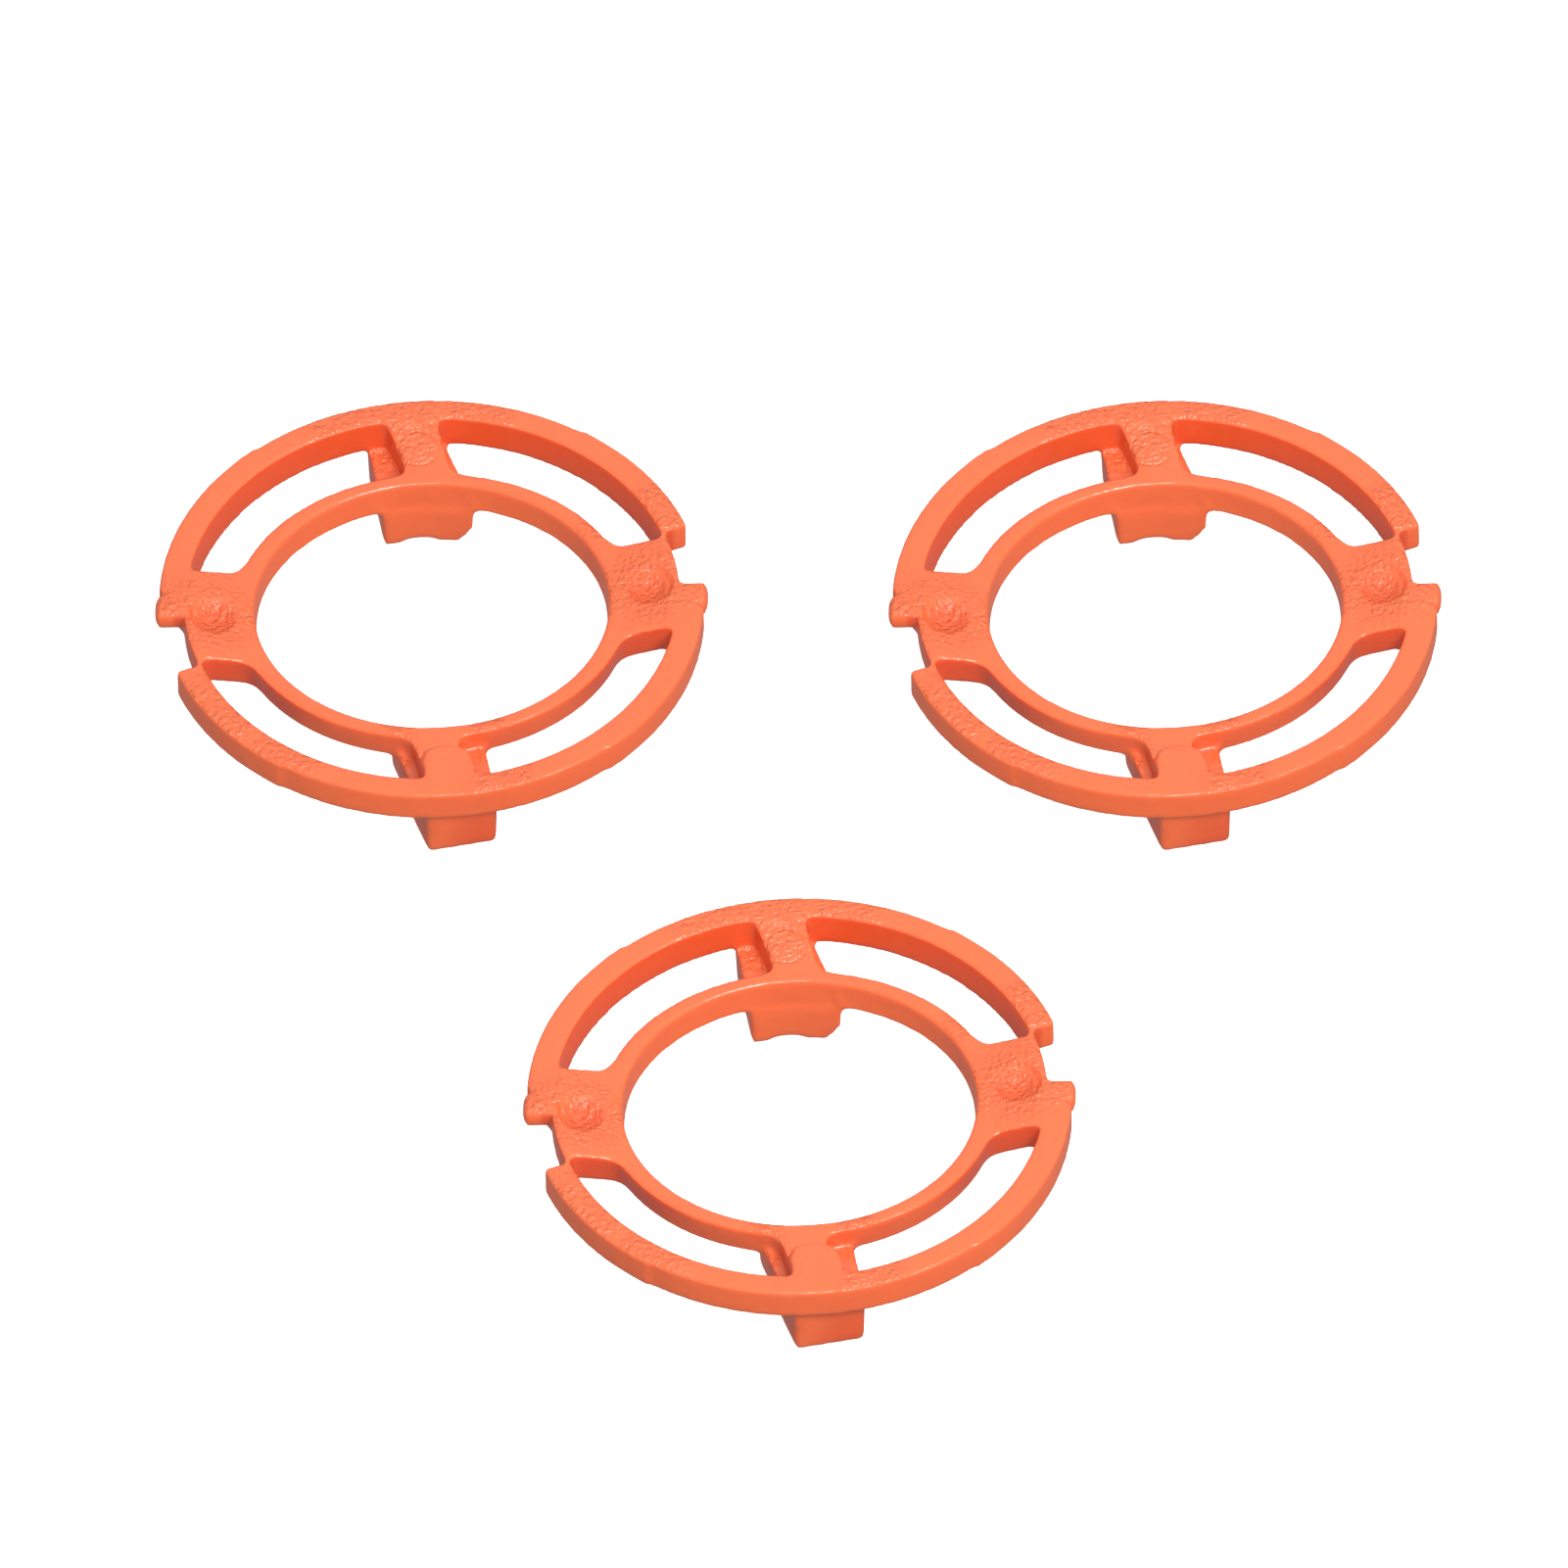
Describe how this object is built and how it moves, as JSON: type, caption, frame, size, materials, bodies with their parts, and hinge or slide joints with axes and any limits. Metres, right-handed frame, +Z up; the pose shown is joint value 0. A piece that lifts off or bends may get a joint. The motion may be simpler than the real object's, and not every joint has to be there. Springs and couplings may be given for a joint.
{
  "type": "retaining ring set",
  "caption": "Matching moulded plastic retaining rings for rotary cutters, each with a slotted outer ring, an oval bore, legs and snap nubs.",
  "frame": {"origin": "on the standing surface, under the middle of the whole set", "axes": "+X runs from the left ring to the right ring, +Y from the front ring to the back ones, +Z is up"},
  "size_m": [0.0636, 0.0604, 0.0047],
  "materials": {
    "orange_plastic": "satin moulded"
  },
  "bodies": {
    "front_ring": {"retaining_ring_front": "orange_plastic"},
    "left_ring": {"retaining_ring_left": "orange_plastic"},
    "right_ring": {"retaining_ring_right": "orange_plastic"}
  },
  "joints": [
    {"name": "lift_left_ring", "type": "slide", "parent": "front_ring", "child": "left_ring", "axis": [0, 0, 1], "range_m": [0, 0.02]},
    {"name": "lift_right_ring", "type": "slide", "parent": "front_ring", "child": "right_ring", "axis": [0, 0, 1], "range_m": [0, 0.02]}
  ]
}
